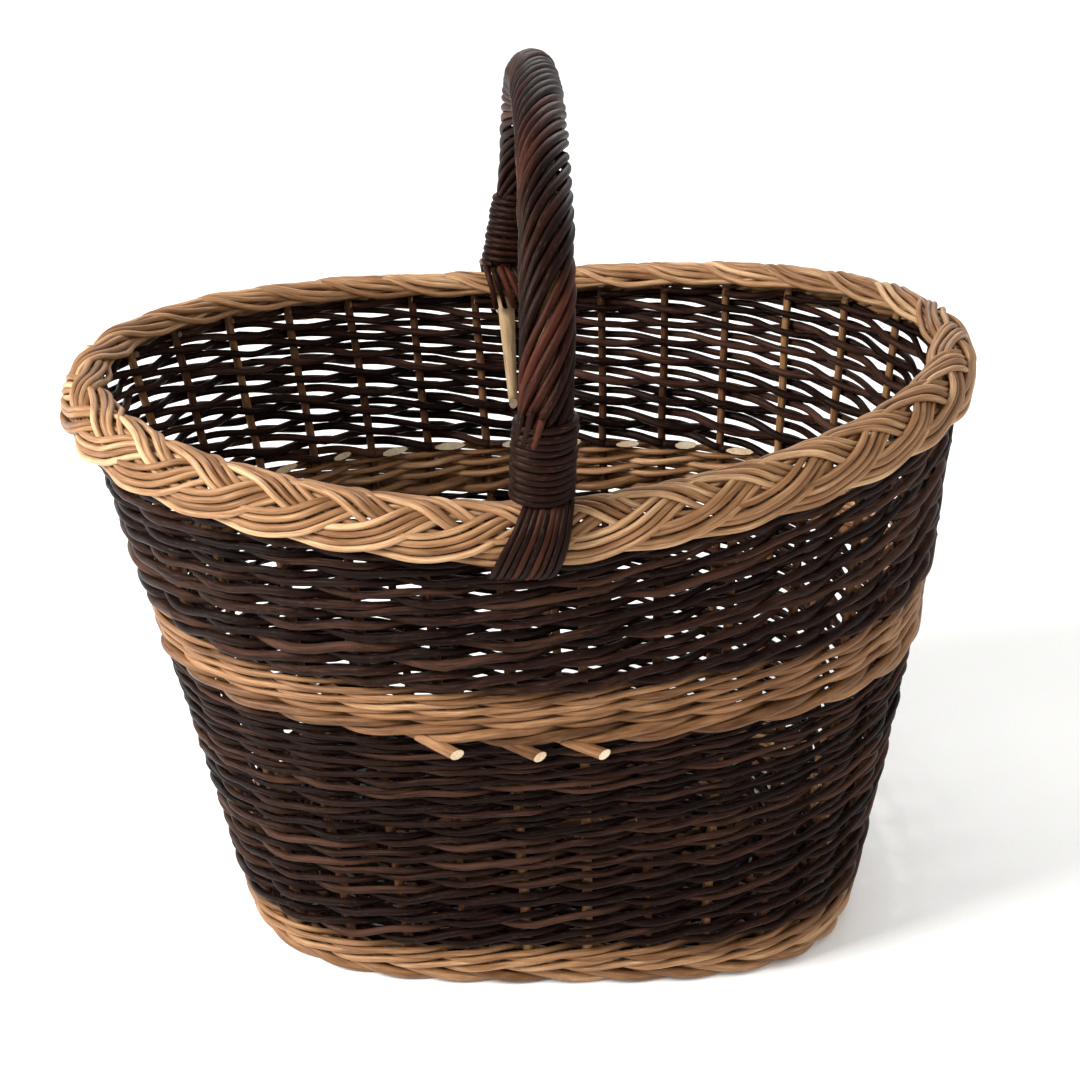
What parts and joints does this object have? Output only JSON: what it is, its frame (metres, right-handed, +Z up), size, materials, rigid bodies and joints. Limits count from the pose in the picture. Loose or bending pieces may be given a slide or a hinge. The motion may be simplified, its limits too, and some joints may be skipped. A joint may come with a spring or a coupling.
{
  "type": "woven market basket",
  "caption": "Oval willow market basket with a flared woven wall, plaited border and fixed roped cross handle, for carrying shopping.",
  "frame": {"origin": "on the floor, below the middle of the basket's outer box, which is the middle of the rim", "axes": "+Z up, +X along the basket's length towards the slightly higher end, +Y across the basket, in the plane of the handle, towards the back"},
  "size_m": [0.463, 0.3438, 0.4466],
  "materials": {
    "dark_willow": "brown willow with its bark on, boiled dark, low sheen",
    "buff_willow": "buff willow, boiled and stripped, smooth satin",
    "handle_willow": "reddish brown willow with its bark on, polished by hands",
    "stake_willow": "tan brown willow stake, dull satin",
    "cut_willow": "pale slant-cut rod end, dry and matt"
  },
  "bodies": {
    "root": {"base_long_sticks": "stake_willow", "base_cross_sticks": "stake_willow", "base_weave": "dark_willow", "foot_border": "buff_willow", "bottom_wale": "buff_willow", "lower_siding": "dark_willow", "middle_wale_butt_round": "buff_willow", "middle_wale": "buff_willow", "upper_siding": "dark_willow", "border": "buff_willow", "front_stakes": "stake_willow", "right_stakes": "stake_willow", "back_stakes": "stake_willow", "left_stakes": "stake_willow", "siding_butts": "cut_willow", "wale_butts": "buff_willow", "handle_bow": "stake_willow", "handle_roping": "handle_willow", "front_collar": "handle_willow", "back_collar": "handle_willow", "front_tails": "handle_willow", "back_tails": "handle_willow"}
  },
  "joints": []
}
